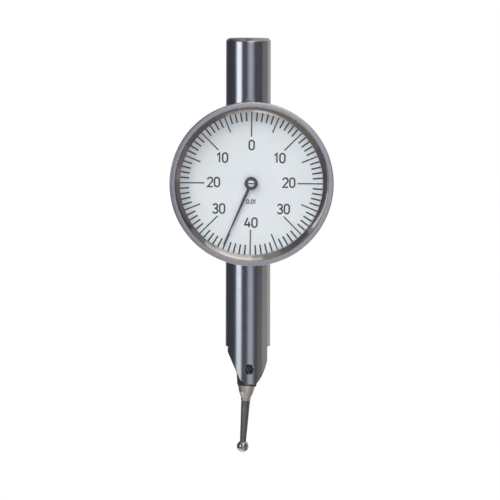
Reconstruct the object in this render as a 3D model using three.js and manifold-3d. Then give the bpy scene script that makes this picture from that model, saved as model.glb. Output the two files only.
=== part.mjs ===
// A lever-type dial test indicator, in millimetres and degrees. +Z runs up the shank, the dial faces -Y,
// and the origin is the centre of the shank's top face. Pieces of the head, the gear train and the lever
// are drawn in a front view: x to the right, y up and z towards the reader, measured from the bar's axis.
import * as THREE from "three";
import { mergeVertices } from "three/addons/utils/BufferGeometryUtils.js";
import Module from "manifold-3d";

// How round things are faceted, how far a cut runs past what it cuts, and the clearances
const fineSegments = 48;
const middleSegments = 24;
const smallSegments = 12;
const curveSteps = 8;
const mergeDistance = 0.0001;
const overrun = 1;
const fitGap = 0.05;
const runningGap = 0.04;

// The bar: an 8 mm shank above, a tapered fork below
const barRadius = 4;
const barChamfer = 0.4;
const barLength = 55.3;
const noseLength = 6.65;
const leftStep = 0.45;
const rightStep = 0.63;
const leftShoulderDrop = 1.3;
const leftHeelRise = 0.85;
const leftHeelReach = 1.6;
const leftToeReach = 0.65;
const rightShoulderDrop = 2.5;
const rightBulgeRise = 1.12;
const rightBulgeInset = 0.83;
const rightToeReach = 1.15;
const boreMargin = 0.11;
const boreEndSpace = 0.5;
const drillPoint = 0.9;
const slotRootSpace = 1.5;
const seatCut = 0.8;
const seatMargin = 0.1;
const windowGap = 0.2;
const pivotRise = 2.7;
const countersinkDepth = 0.25;
const bushHoleRadius = 1;
const bushRecess = 0.2;

// The gear train: a sector on the lever, the intermediate pinion and wheel, and the centre pinion
const toothModule = 0.15;
const pressureAngle = 25;
const sectorTeeth = 368;
const intermediatePinionTeeth = 12;
const wheelTeeth = 55;
const centrePinionTeeth = 15;
const addendumShare = 0.95;
const dedendumShare = 1.25;
const toothShare = 0.42;
const flankShares = [0, 0.45, 1];
const spareSectorTeeth = 2;
const leverTravelAngle = 3.5;
const travelPerTurn = 0.8;

// The case, front to back
const caseWall = 1.7;
const caseNeckWall = 0.8;
const caseChamfer = 0.5;
const caseFloorThickness = 0.8;
const caseScrewRadius = 0.5;
const caseScrewLength = 1.4;
const caseScrewHeadWidth = 0.35;
const caseScrewHeadHeight = 0.35;
const caseScrewSpread = 1.5;
const caseScrewMargin = 0.6;
const caseBoreMargin = 0.48;
const neckEndGap = 0.2;

// The movement on the case's floor
const wheelLift = 0.4;
const wheelThickness = 0.4;
const wheelHoleRadius = 0.85;
const wheelHoleCircleRadius = 2.5;
const wheelHoleCount = 4;
const wheelColletWall = 0.35;
const wheelColletFlange = 0.35;
const pinionOverhang = 0.15;
const arborRadius = 0.4;
const arborPivotRadius = 0.2;
const jewelWall = 0.3;
const jewelInset = 0.1;
const pillarRadius = 0.9;
const pillarSpread = 6;
const pillarDrop = 2.6;
const bridgeLift = 0.3;
const bridgeThickness = 0.8;
const bridgeArmRadius = 1.4;
const bridgeScrewRadius = 0.35;
const bridgeScrewDepth = 1.1;
const bridgeScrewHeadWidth = 0.4;
const bridgeScrewHeadHeight = 0.35;
const screwSlotWidth = 0.22;
const screwSlotDepth = 0.2;

// The hairspring
const hairspringLift = 0.4;
const hairspringHeight = 0.2;
const hairspringThickness = 0.06;
const hairspringPitch = 0.45;
const hairspringTurnCount = 5;
const hairspringStepsPerTurn = 16;
const springColletWall = 0.5;
const springColletOverhang = 0.1;
const studRadius = 0.35;
const studOverhang = 0.15;

// The dial, the pointer and the crystal
const dialLift = 0.9;
const dialThickness = 0.4;
const dialHoleRadius = 1;
const pointerLift = 0.25;
const pointerThickness = 0.15;
const pointerTipGap = 0.72;
const pointerRootWidth = 0.36;
const pointerTipWidth = 0.22;
const pointerRingWidth = 0.43;
const pointerRestAngle = 203.8;
const hubWall = 0.22;
const hubBossStep = 0.28;
const hubCapStep = 0.58;
const hubThickness = 0.35;
const arborTipHeight = 0.12;
const crystalClearance = 0.53;
const crystalThickness = 0.6;
const crystalOverhang = 0.1;
const crystalChamfer = 0.15;
const crystalRingWidth = 0.25;
const crystalRingInset = 0.1;
const crystalRingLip = 0.55;
const crystalRingEdge = 0.08;
const retainerWidth = 0.9;
const retainerThickness = 0.3;

// The bezel
const bezelRim = 0.7;
const bezelSeatWall = 0.95;
const bezelFlangeWidth = 0.8;
const bezelEdge = 0.3;
const bezelLipDepth = 0.2;
const bezelRearGap = 0.1;
const bezelLedge = 0.35;
const bezelWallSlope = 0.23;
const bezelNeckGap = 0.15;
const knurlDepth = 0.2;
const knurlFoot = 0.1;
const knurlCount = 72;
const knurlBackMargin = 0.35;
const knurlFrontMargin = 0.9;
const bezelSpringWidth = 0.34;
const bezelSpringThickness = 0.2;
const bezelSpringInset = 0.3;
const bezelSpringLip = 0.2;
const bezelSpringGapAngle = 24;

// The lever, its arbor and its sector
const leverThickness = 1;
const leverDiscRadius = 1.9;
const armRootHalfWidth = 0.85;
const armTipHalfWidth = 0.6;
const armSectorGap = 0.7;
const sectorPlateThickness = 0.5;
const sectorFootHalfWidth = 0.8;
const rivetRadius = 0.3;
const rivetHeadWidth = 0.2;
const rivetHeadHeight = 0.2;
const rivetSpacing = 1.1;
const rivetEdge = 0.7;
const rivetFootEdge = 0.5;
const leverArborRadius = 0.6;
const arborShoulder = 0.1;
const arborConeLength = 0.5;
const arborConeTipRadius = 0.12;
const pivotScrewRecess = 0.9;
const pivotScrewWall = 0.12;
const pivotPlay = 0.06;

// The contact: swivel fork, stem and ball
const contactTiltAngle = 3.6;
const ballRadius = 1.05;
const earThickness = 0.85;
const earOverlap = 0.1;
const earSideGap = 0.25;
const earSlotSpace = 0.25;
const washerThickness = 0.11;
const washerGap = 0.02;
const washerInset = 0.45;
const webThickness = 1.05;
const collarLength = 2.8;
const collarSideGap = 0.17;
const collarShoulder = 0.04;
const collarEndRadius = 0.86;
const collarShares = [
  [0.04, 0.97],
  [0.23, 0.78],
  [0.43, 0.64],
  [0.62, 0.32],
  [0.82, 0.01],
];
const stemShoulder = 0.06;
const stemTipRadius = 0.55;
const studThreadWall = 0.26;
const studThreadEnd = 0.4;
const stemSpigotRadius = 0.4;
const stemSpigotLength = 0.6;
const ballRowCount = 12;

// The train's places on the bar
const radians = THREE.MathUtils.degToRad;
const pitchRadius = (teeth) => (teeth * toothModule) / 2;
const tipRadius = (teeth) => pitchRadius(teeth) + toothModule * addendumShare;
const rootRadius = (teeth) => pitchRadius(teeth) - toothModule * dedendumShare;
const noseTopZ = -barLength;
const noseBottomZ = noseTopZ - noseLength;
const pivotZ = noseBottomZ + pivotRise;
const intermediateZ = pivotZ + pitchRadius(sectorTeeth) + pitchRadius(intermediatePinionTeeth);
const trainDrop = pitchRadius(wheelTeeth) + pitchRadius(centrePinionTeeth);
const dialZ = intermediateZ + trainDrop;
const trainRatio = (sectorTeeth / intermediatePinionTeeth) * (wheelTeeth / centrePinionTeeth);
const ballDistance = (travelPerTurn * trainRatio) / (2 * Math.PI);

// The lever's sector, and the bore that its swing needs
const sectorPitchAngle = (2 * Math.PI) / sectorTeeth;
const sectorToothCount = Math.ceil(radians(leverTravelAngle) / sectorPitchAngle) + spareSectorTeeth;
const sectorReachAngle = radians(leverTravelAngle / 2) + (sectorToothCount / 2) * sectorPitchAngle;
const sectorPlateDepth = leverThickness / 2;
const sectorPlateFrontDepth = sectorPlateDepth + sectorPlateThickness;
const sectorReach = tipRadius(sectorTeeth) * Math.sin(sectorReachAngle);
const boreRadius = Math.hypot(sectorReach, sectorPlateFrontDepth) + boreMargin;
const armLength = pitchRadius(sectorTeeth) - armSectorGap;

// The fork, the contact and the pivot between them, out from the lever
const leftHalfWidth = barRadius - leftStep;
const rightHalfWidth = barRadius - rightStep;
const slotTop = pivotZ + leverDiscRadius + slotRootSpace;
const earRadius = leverDiscRadius + earOverlap;
const earSlotHalfWidth = leverThickness / 2 + washerGap + washerThickness + washerGap;
const earSlotDepth = leverDiscRadius + earSlotSpace;
const earHalfThickness = earSlotHalfWidth + earThickness;
const slotHalfWidth = earHalfThickness + earSideGap;
const arborBodyHalfLength = earHalfThickness + fitGap;
const arborConeRootRadius = leverArborRadius - arborShoulder;
const pivotScrewRadius = arborConeRootRadius + pivotPlay + pivotScrewWall;
const pivotScrewFront = barRadius - pivotScrewRecess;
const pivotHoleRadius = pivotScrewRadius + fitGap;
const collarDistance = earSlotDepth + webThickness;
const collarEndDistance = collarDistance + collarLength;
const collarRadius = slotHalfWidth - collarSideGap;
const studThreadRadius = collarEndRadius - studThreadWall - fitGap;
const studThreadLength = collarLength - studThreadEnd;
const stemRootRadius = collarEndRadius - stemShoulder;

// The arbors' fittings
const jewelRadius = arborRadius + jewelWall;
const wheelSpigotRadius = arborRadius + wheelColletWall;
const wheelColletRadius = wheelSpigotRadius + wheelColletFlange;
const springColletRadius = arborRadius + springColletWall;
const hubSpigotRadius = arborRadius + hubWall;
const hubBossRadius = hubSpigotRadius + hubBossStep;
const hubRadius = hubSpigotRadius + hubCapStep;
const pointerRingRadius = hubSpigotRadius + pointerRingWidth;
const windowRadius = tipRadius(intermediatePinionTeeth) + windowGap;
const hairspringInnerRadius = springColletRadius + fitGap + hairspringThickness / 2;
const hairspringOuterRadius = hairspringInnerRadius + hairspringTurnCount * hairspringPitch;
const bushLength = barRadius - boreRadius - bushRecess;

// The head's depths, forward from the bar's axis
const seatDepth = barRadius - seatCut;
const floorDepth = seatDepth + caseFloorThickness;
const wheelDepth = floorDepth + wheelLift;
const wheelFrontDepth = wheelDepth + wheelThickness;
const hairspringDepth = wheelFrontDepth + hairspringLift;
const hairspringFrontDepth = hairspringDepth + hairspringHeight;
const bridgeDepth = hairspringFrontDepth + springColletOverhang + bridgeLift;
const bridgeFrontDepth = bridgeDepth + bridgeThickness;
const dialBackDepth = bridgeFrontDepth + dialLift;
const dialFaceDepth = dialBackDepth + dialThickness;
const pointerDepth = dialFaceDepth + pointerLift;
const hubDepth = pointerDepth + pointerThickness;
const hubFrontDepth = hubDepth + hubThickness;
const crystalDepth = hubFrontDepth + arborTipHeight + crystalClearance;
const crystalFrontDepth = crystalDepth + crystalThickness;
const bezelFrontDepth = crystalFrontDepth + bezelRim;
const caseNeckDepth = dialBackDepth - retainerThickness - neckEndGap;
const bezelSpringDepth = caseNeckDepth - bezelSpringLip - bezelSpringThickness;
const caseShoulderDepth = bezelSpringDepth - bezelSpringInset;
const bezelBackDepth = caseShoulderDepth + bezelRearGap;

// The head's radii, out from the wheel and the screws inside the case
const caseScrewHeadRadius = caseScrewRadius + caseScrewHeadWidth;
const bridgeScrewHeadRadius = bridgeScrewRadius + bridgeScrewHeadWidth;
const caseScrewOffset = trainDrop + tipRadius(wheelTeeth) + caseScrewHeadRadius + caseScrewMargin;
const caseBoreRadius = caseScrewOffset + caseScrewHeadRadius + caseBoreMargin;
const caseRadius = caseBoreRadius + caseWall;
const caseNeckRadius = caseBoreRadius + caseNeckWall;
const bezelSkirtRadius = caseNeckRadius + bezelNeckGap;
const dialRadius = bezelSkirtRadius - fitGap;
const crystalRadius = dialRadius + crystalOverhang;
const crystalRingInner = crystalRadius + fitGap;
const crystalRingOuter = crystalRingInner + crystalRingWidth;
const bezelSeatRadius = crystalRingOuter + fitGap;
const bezelRadius = bezelSeatRadius + bezelSeatWall;
const bezelWallTopRadius = crystalRadius - bezelLedge;
const bezelWallFootRadius = bezelWallTopRadius - bezelWallSlope;
const knurlRootRadius = bezelRadius - knurlDepth;
const bezelBandRadius = knurlRootRadius - knurlFoot;
const pointerLength = bezelWallFootRadius - pointerTipGap;
const bezelSpringMiddleRadius = (bezelSkirtRadius + caseNeckRadius) / 2;
const bezelSpringInnerRadius = bezelSpringMiddleRadius - bezelSpringWidth / 2;
const bezelSpringOuterRadius = bezelSpringMiddleRadius + bezelSpringWidth / 2;

const wasm = await Module();
wasm.setup();

// The geometry with its shared vertices merged and its slivers dropped, facing out.
function closed(geometry) {
  const loose = geometry.index ? geometry.toNonIndexed() : geometry;
  const bare = new THREE.BufferGeometry().setAttribute("position", loose.getAttribute("position"));
  const merged = mergeVertices(bare, mergeDistance);
  const at = merged.getAttribute("position");
  const corners = [new THREE.Vector3(), new THREE.Vector3(), new THREE.Vector3()];
  const faces = [];
  let volume = 0;
  for (let i = 0; i < merged.index.count; i += corners.length) {
    const face = corners.map((_, k) => merged.index.getX(i + k));
    if (new Set(face).size < corners.length) continue;
    corners.forEach((corner, k) => corner.fromBufferAttribute(at, face[k]));
    volume += corners[0].dot(corners[1].clone().cross(corners[2]));
    faces.push(face);
  }
  merged.setIndex(faces.flatMap(([a, b, c]) => (volume < 0 ? [a, c, b] : [a, b, c])));
  return merged;
}

// Joins and cuts, through closed solids.
function solidOf(geometry) {
  const shape = closed(geometry);
  const triVerts = new Uint32Array(shape.index.array);
  const vertProperties = new Float32Array(shape.getAttribute("position").array);
  return new wasm.Manifold(new wasm.Mesh({ numProp: 3, vertProperties, triVerts }));
}

function geometryOf(solid) {
  const { vertProperties, triVerts } = solid.getMesh();
  const positions = new THREE.BufferAttribute(new Float32Array(vertProperties), 3);
  return new THREE.BufferGeometry().setAttribute("position", positions).setIndex([...triVerts]);
}

function join(...geometries) {
  return geometryOf(geometries.map(solidOf).reduce((whole, next) => whole.add(next)));
}

function cut(geometry, ...tools) {
  return geometryOf(tools.map(solidOf).reduce((rest, tool) => rest.subtract(tool), solidOf(geometry)));
}

// Solids of revolution: profiles are pairs of radius and place on the axis.
function turnedAboutY(profile, segments) {
  return new THREE.LatheGeometry(profile.map(([r, y]) => new THREE.Vector2(r, y)), segments);
}

function turned(profile, segments) {
  return turnedAboutY(profile, segments).rotateX(Math.PI / 2);
}

function rod(radius, from, to, segments = smallSegments) {
  return turned([[0, from], [radius, from], [radius, to], [0, to]], segments);
}

function ring(inner, outer, from, to, segments = fineSegments) {
  return turned([[inner, from], [outer, from], [outer, to], [inner, to], [inner, from]], segments);
}

// Flat pieces, extruded towards the reader.
function plate(shape, from, to) {
  const flat = { depth: to - from, bevelEnabled: false, curveSegments: curveSteps };
  return new THREE.ExtrudeGeometry(shape, flat).translate(0, 0, from);
}

function polygon(points) {
  return new THREE.Shape(points.map(([x, y]) => new THREE.Vector2(x, y)));
}

function taper(lowHalfWidth, highHalfWidth, low, high, from, to) {
  const left = [[-highHalfWidth, high], [-lowHalfWidth, low]];
  return plate(polygon([[lowHalfWidth, low], [highHalfWidth, high], ...left]), from, to);
}

function block(halfWidth, low, high, from, to) {
  return taper(halfWidth, halfWidth, low, high, from, to);
}

// A front-view geometry in the part's frame, at a height on the bar's axis.
function facing(geometry, height) {
  return geometry.rotateX(Math.PI / 2).translate(0, 0, height);
}

// A slotted screw along z with the underside of its head at zero.
function screw(radius, length, headRadius, headHeight) {
  const profile = [
    [0, -length],
    [radius, -length],
    [radius, 0],
    [headRadius, 0],
    [headRadius, headHeight],
    [0, headHeight],
  ];
  return slotted(turned(profile, smallSegments), headRadius, headHeight);
}

function slotted(geometry, radius, top) {
  const end = radius + overrun;
  return cut(geometry, block(screwSlotWidth / 2, -end, end, top - screwSlotDepth, top + overrun));
}

// Involute teeth: the points of one tooth, anticlockwise about the gear's centre.
function involute(angle) {
  return Math.tan(angle) - angle;
}

function halfToothAngle(teeth, radius) {
  const pressure = radians(pressureAngle);
  const baseRadius = pitchRadius(teeth) * Math.cos(pressure);
  const pressureHere = Math.acos(Math.min(1, baseRadius / radius));
  return (Math.PI * toothShare) / teeth + involute(pressure) - involute(pressureHere);
}

function polar(radius, angle) {
  return [radius * Math.cos(angle), radius * Math.sin(angle)];
}

function tooth(teeth, angle) {
  const root = rootRadius(teeth);
  const depth = tipRadius(teeth) - root;
  const radii = flankShares.map((share) => root + share * depth);
  const rising = radii.map((r) => polar(r, angle - halfToothAngle(teeth, r)));
  const falling = radii.map((r) => polar(r, angle + halfToothAngle(teeth, r)));
  return [...rising, ...falling.reverse()];
}

function teethFrom(teeth, firstAngle, count) {
  const pitchAngle = (2 * Math.PI) / teeth;
  return Array.from({ length: count }, (_, k) => tooth(teeth, firstAngle + k * pitchAngle)).flat();
}

function gear(teeth, firstAngle, from, to) {
  return plate(polygon(teethFrom(teeth, firstAngle, teeth)), from, to);
}

// The bar: round above, milled to a fork below, bored for the lever's arm and flat where the case sits.
function leftNoseWaste() {
  const edge = barRadius + overrun;
  const outline = [
    [-edge, 0],
    [-edge, -noseLength - overrun],
    [-leftToeReach, -noseLength - overrun],
    [-leftToeReach, -noseLength],
    [-leftHeelReach, leftHeelRise - noseLength],
    [-leftHalfWidth, -leftShoulderDrop],
    [-leftHalfWidth, 0],
  ];
  return plate(polygon(outline), -edge, edge);
}

function rightNoseWaste() {
  const edge = barRadius + overrun;
  const outline = new THREE.Shape();
  outline.moveTo(edge, 0);
  outline.lineTo(rightHalfWidth, 0);
  outline.lineTo(rightHalfWidth, -rightShoulderDrop);
  const bulge = [rightHalfWidth - rightBulgeInset, rightBulgeRise - noseLength];
  outline.quadraticCurveTo(...bulge, rightToeReach, -noseLength);
  outline.lineTo(rightToeReach, -noseLength - overrun);
  outline.lineTo(edge, -noseLength - overrun);
  return plate(outline, -edge, edge);
}

function pivotHole() {
  const edge = barRadius + overrun;
  const rim = pivotHoleRadius + countersinkDepth;
  const sink = [
    [0, barRadius - countersinkDepth],
    [pivotHoleRadius, barRadius - countersinkDepth],
    [rim, barRadius],
    [rim, edge],
    [0, edge],
  ];
  const front = turned(sink, middleSegments);
  const rear = front.clone().rotateY(Math.PI);
  return join(rod(pivotHoleRadius, -edge, edge, middleSegments), front, rear);
}

function bodyTube() {
  const edge = barRadius + overrun;
  const profile = [
    [0, noseBottomZ],
    [barRadius, noseBottomZ],
    [barRadius, -barChamfer],
    [barRadius - barChamfer, 0],
    [0, 0],
  ];
  const boreTop = intermediateZ + windowRadius + boreEndSpace;
  const bore = [
    [0, slotTop - overrun],
    [boreRadius, slotTop - overrun],
    [boreRadius, boreTop],
    [0, boreTop + drillPoint],
  ];
  const seatHalf = caseRadius + seatMargin;
  const screwHoles = caseScrewPlaces().map(([x, y]) => {
    const hole = rod(caseScrewRadius + fitGap, floorDepth - caseScrewLength - fitGap, edge);
    return facing(hole.translate(x, y, 0), dialZ);
  });
  return cut(
    turned(profile, fineSegments),
    facing(leftNoseWaste(), noseTopZ),
    facing(rightNoseWaste(), noseTopZ),
    turned(bore, middleSegments),
    facing(block(edge, -noseLength - overrun, slotTop - noseTopZ, -slotHalfWidth, slotHalfWidth), noseTopZ),
    facing(block(edge, -seatHalf, seatHalf, seatDepth, edge), dialZ),
    facing(rod(windowRadius, 0, edge, middleSegments), intermediateZ),
    facing(rod(bushHoleRadius, -edge, 0, middleSegments), intermediateZ),
    facing(pivotHole(), pivotZ),
    ...screwHoles,
  );
}

// The case and what holds it on the bar
function caseScrewPlaces() {
  const columns = [-caseScrewSpread, caseScrewSpread];
  return [caseScrewOffset, -caseScrewOffset].flatMap((y) => columns.map((x) => [x, y]));
}

function dialCase() {
  const grooveRadius = bezelSpringInnerRadius - fitGap;
  const grooveBack = bezelSpringDepth - fitGap;
  const grooveFront = bezelSpringDepth + bezelSpringThickness + fitGap;
  const profile = [
    [0, seatDepth],
    [caseRadius - caseChamfer, seatDepth],
    [caseRadius, seatDepth + caseChamfer],
    [caseRadius, caseShoulderDepth],
    [caseNeckRadius, caseShoulderDepth],
    [caseNeckRadius, grooveBack],
    [grooveRadius, grooveBack],
    [grooveRadius, grooveFront],
    [caseNeckRadius, grooveFront],
    [caseNeckRadius, caseNeckDepth],
    [caseBoreRadius, caseNeckDepth],
    [caseBoreRadius, floorDepth],
    [0, floorDepth],
  ];
  const low = seatDepth - overrun;
  const high = floorDepth + overrun;
  const screwHoles = caseScrewPlaces().map(([x, y]) => {
    return rod(caseScrewRadius + fitGap, low, high).translate(x, y, 0);
  });
  return cut(
    turned(profile, fineSegments),
    rod(windowRadius, low, high, middleSegments).translate(0, -trainDrop, 0),
    rod(jewelRadius + fitGap, low, high),
    ...screwHoles,
  );
}

// The movement
function wheel() {
  const holes = Array.from({ length: wheelHoleCount }, (_, k) => {
    const [x, y] = polar(wheelHoleCircleRadius, ((2 * k + 1) * Math.PI) / wheelHoleCount);
    return rod(wheelHoleRadius, wheelDepth - overrun, wheelFrontDepth + overrun).translate(x, y, 0);
  });
  const gapUp = Math.PI / 2 + Math.PI / wheelTeeth;
  const blank = gear(wheelTeeth, gapUp, wheelDepth, wheelFrontDepth);
  const middle = rod(wheelSpigotRadius + fitGap, wheelDepth - overrun, wheelFrontDepth + overrun);
  return cut(blank, middle, ...holes);
}

function wheelCollet() {
  const bore = arborRadius + fitGap;
  const profile = [
    [bore, floorDepth + pinionOverhang],
    [wheelColletRadius, floorDepth + pinionOverhang],
    [wheelColletRadius, wheelDepth],
    [wheelSpigotRadius, wheelDepth],
    [wheelSpigotRadius, wheelFrontDepth + pinionOverhang],
    [bore, wheelFrontDepth + pinionOverhang],
    [bore, floorDepth + pinionOverhang],
  ];
  return turned(profile, smallSegments);
}

function intermediateArbor() {
  const back = -boreRadius + fitGap;
  const shoulder = bridgeDepth + jewelInset - fitGap;
  const profile = [
    [0, back - bushLength / 2],
    [arborPivotRadius, back - bushLength / 2],
    [arborPivotRadius, back],
    [arborRadius, back],
    [arborRadius, shoulder],
    [arborPivotRadius, shoulder],
    [arborPivotRadius, bridgeFrontDepth - jewelInset],
    [0, bridgeFrontDepth - jewelInset],
  ];
  const from = sectorPlateDepth - pinionOverhang;
  const to = sectorPlateFrontDepth + pinionOverhang;
  const pinion = gear(intermediatePinionTeeth, -Math.PI / 2, from, to);
  return join(turned(profile, smallSegments), pinion);
}

function centreArbor() {
  const back = seatDepth + jewelInset;
  const shoulder = floorDepth + fitGap;
  const profile = [
    [0, back],
    [arborPivotRadius, back],
    [arborPivotRadius, shoulder],
    [arborRadius, shoulder],
    [arborRadius, hubFrontDepth],
    [arborPivotRadius, hubFrontDepth + arborTipHeight],
    [0, hubFrontDepth + arborTipHeight],
  ];
  const from = wheelDepth - pinionOverhang;
  const to = wheelFrontDepth + pinionOverhang;
  const pinion = gear(centrePinionTeeth, -Math.PI / 2, from, to);
  return join(turned(profile, smallSegments), pinion);
}

function jewel(shaftRadius, from, to) {
  return ring(shaftRadius + runningGap, jewelRadius, from, to, smallSegments);
}

function rearBush() {
  const front = -boreRadius;
  const pocket = rod(arborPivotRadius + runningGap, front - bushLength / 2 - fitGap, front + overrun);
  const bush = rod(bushHoleRadius - fitGap, front - bushLength, front, middleSegments);
  return slotted(cut(bush, pocket).rotateY(Math.PI), bushHoleRadius, boreRadius + bushLength);
}

function bridge() {
  const half = bridgeArmRadius;
  const from = bridgeDepth;
  const to = bridgeFrontDepth;
  const ends = [[-pillarSpread, -pillarDrop], [pillarSpread, -pillarDrop], [0, 0], [0, -trainDrop]];
  const lobes = ends.map(([x, y]) => rod(half, from, to, middleSegments).translate(x, y, 0));
  const crossArm = block(pillarSpread, -pillarDrop - half, -pillarDrop + half, from, to);
  const spine = block(half, -trainDrop, 0, from, to);
  const [left, right, centre, foot] = ends;
  const screwHole = rod(bridgeScrewRadius + fitGap, from - overrun, to + overrun);
  const jewelHole = rod(jewelRadius + fitGap, from - overrun, to + overrun);
  return cut(
    join(crossArm, spine, ...lobes),
    ...[left, right].map(([x, y]) => screwHole.clone().translate(x, y, 0)),
    ...[centre, foot].map(([x, y]) => jewelHole.clone().translate(x, y, 0)),
  );
}

function pillar() {
  const from = bridgeDepth - bridgeScrewDepth - fitGap;
  const thread = rod(bridgeScrewRadius + fitGap, from, bridgeDepth + overrun);
  return cut(rod(pillarRadius, floorDepth, bridgeDepth), thread);
}

// The hairspring: one flat spiral ribbon from its collet out to its stud.
function hairspring() {
  const steps = hairspringTurnCount * hairspringStepsPerTurn;
  const edge = (side) => {
    return Array.from({ length: steps + 1 }, (_, k) => {
      const turns = k / hairspringStepsPerTurn;
      const radius = hairspringInnerRadius + turns * hairspringPitch + (side * hairspringThickness) / 2;
      return polar(radius, Math.PI / 2 + turns * 2 * Math.PI);
    });
  };
  const outline = [...edge(1), ...edge(-1).reverse()];
  return plate(polygon(outline), hairspringDepth, hairspringFrontDepth);
}

function springCollet() {
  const from = hairspringDepth - springColletOverhang;
  const to = hairspringFrontDepth + springColletOverhang;
  return ring(arborRadius + fitGap, springColletRadius, from, to, smallSegments);
}

// The dial, the pointer and the crystal
function hub() {
  const bore = arborRadius + fitGap;
  const profile = [
    [bore, dialFaceDepth + fitGap],
    [hubBossRadius, dialFaceDepth + fitGap],
    [hubBossRadius, pointerDepth],
    [hubSpigotRadius, pointerDepth],
    [hubSpigotRadius, hubDepth],
    [hubRadius, hubDepth],
    [hubRadius - fitGap, hubFrontDepth],
    [bore, hubFrontDepth],
    [bore, dialFaceDepth + fitGap],
  ];
  return turned(profile, middleSegments);
}

function pointer() {
  const from = pointerDepth;
  const to = hubDepth;
  const boss = rod(pointerRingRadius, from, to, middleSegments);
  const needle = taper(pointerRootWidth / 2, pointerTipWidth / 2, 0, pointerLength, from, to);
  return cut(join(boss, needle), rod(hubSpigotRadius + fitGap, from - overrun, to + overrun, middleSegments));
}

function crystal() {
  const profile = [
    [0, crystalDepth],
    [crystalRadius, crystalDepth],
    [crystalRadius, crystalFrontDepth - crystalChamfer],
    [crystalRadius - crystalChamfer, crystalFrontDepth],
    [0, crystalFrontDepth],
  ];
  return turned(profile, fineSegments);
}

// The ring pressed in round the crystal: its lip covers the crystal's edge and slopes up to the front.
function crystalRing() {
  const foot = crystalDepth + crystalRingInset;
  const lip = crystalRadius - crystalRingLip;
  const profile = [
    [crystalRingInner, foot],
    [crystalRingOuter, foot],
    [crystalRingOuter, bezelFrontDepth],
    [lip, crystalFrontDepth + fitGap + crystalRingEdge],
    [lip, crystalFrontDepth + fitGap],
    [crystalRingInner, crystalFrontDepth + fitGap],
    [crystalRingInner, foot],
  ];
  return turned(profile, fineSegments);
}

function retainer() {
  return ring(dialRadius - retainerWidth, dialRadius, dialBackDepth - retainerThickness, dialBackDepth);
}

// The bezel: a knurled ring that carries the crystal and the dial and turns on the case's neck.
function bezel() {
  const skirtGroove = bezelSpringOuterRadius + fitGap;
  const grooveBack = bezelSpringDepth - fitGap;
  const grooveFront = bezelSpringDepth + bezelSpringThickness + fitGap;
  const flangeInner = bezelRadius - bezelFlangeWidth;
  const knurlBack = bezelBackDepth + knurlBackMargin;
  const knurlFront = bezelFrontDepth - knurlFrontMargin;
  const profile = [
    [bezelSkirtRadius, bezelBackDepth],
    [bezelBandRadius, bezelBackDepth],
    [bezelBandRadius, knurlFront],
    [bezelRadius, knurlFront],
    [bezelRadius, bezelFrontDepth - bezelEdge],
    [bezelRadius - bezelEdge, bezelFrontDepth],
    [flangeInner, bezelFrontDepth],
    [bezelSeatRadius, bezelFrontDepth - bezelLipDepth],
    [bezelSeatRadius, crystalDepth],
    [bezelWallTopRadius, crystalDepth],
    [bezelWallFootRadius, dialFaceDepth],
    [bezelSkirtRadius, dialFaceDepth],
    [bezelSkirtRadius, grooveFront],
    [skirtGroove, grooveFront],
    [skirtGroove, grooveBack],
    [bezelSkirtRadius, grooveBack],
    [bezelSkirtRadius, bezelBackDepth],
  ];
  const ridges = Array.from({ length: 2 * knurlCount }, (_, k) => {
    return polar(k % 2 ? knurlRootRadius : bezelRadius, (k * Math.PI) / knurlCount);
  });
  const band = cut(
    plate(polygon(ridges), knurlBack, knurlFront),
    rod(bezelBandRadius - fitGap, knurlBack - overrun, knurlFront + overrun, fineSegments),
  );
  return join(turned(profile, fineSegments), band);
}

function bezelSpring() {
  const half = radians(bezelSpringGapAngle / 2);
  const start = Math.PI / 2 + half;
  const sweep = 2 * Math.PI - 2 * half;
  const arc = (radius) => {
    return Array.from({ length: fineSegments + 1 }, (_, k) => {
      return polar(radius, start + (k * sweep) / fineSegments);
    });
  };
  const outline = [...arc(bezelSpringOuterRadius), ...arc(bezelSpringInnerRadius).reverse()];
  return plate(polygon(outline), bezelSpringDepth, bezelSpringDepth + bezelSpringThickness);
}

// The lever: a disc at the pivot, a long arm up the bore and a toothed sector riveted to its end.
function rivetPlaces() {
  return [rivetEdge, rivetEdge + rivetSpacing].map((down) => armLength - down);
}

function rivetHoles(from, to) {
  return rivetPlaces().map((y) => rod(rivetRadius + fitGap, from - overrun, to + overrun).translate(0, y, 0));
}

function measuringLever() {
  const from = -leverThickness / 2;
  const to = leverThickness / 2;
  const disc = rod(leverDiscRadius, from, to, middleSegments);
  const arm = taper(armRootHalfWidth, armTipHalfWidth, 0, armLength, from, to);
  const arborHole = rod(leverArborRadius + fitGap, from - overrun, to + overrun, middleSegments);
  return cut(join(disc, arm), arborHole, ...rivetHoles(from, to));
}

function gearSector() {
  const startAngle = Math.PI / 2 - radians(leverTravelAngle / 2) - sectorPitchAngle;
  const firstToothAngle = startAngle + sectorPitchAngle / 2;
  const foot = armLength - rivetEdge - rivetSpacing - rivetFootEdge;
  const outline = [
    [sectorFootHalfWidth, foot],
    polar(rootRadius(sectorTeeth), startAngle),
    ...teethFrom(sectorTeeth, firstToothAngle, sectorToothCount),
    polar(rootRadius(sectorTeeth), startAngle + sectorToothCount * sectorPitchAngle),
    [-sectorFootHalfWidth, foot],
  ];
  const blank = plate(polygon(outline), sectorPlateDepth, sectorPlateFrontDepth);
  return cut(blank, ...rivetHoles(sectorPlateDepth, sectorPlateFrontDepth));
}

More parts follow.
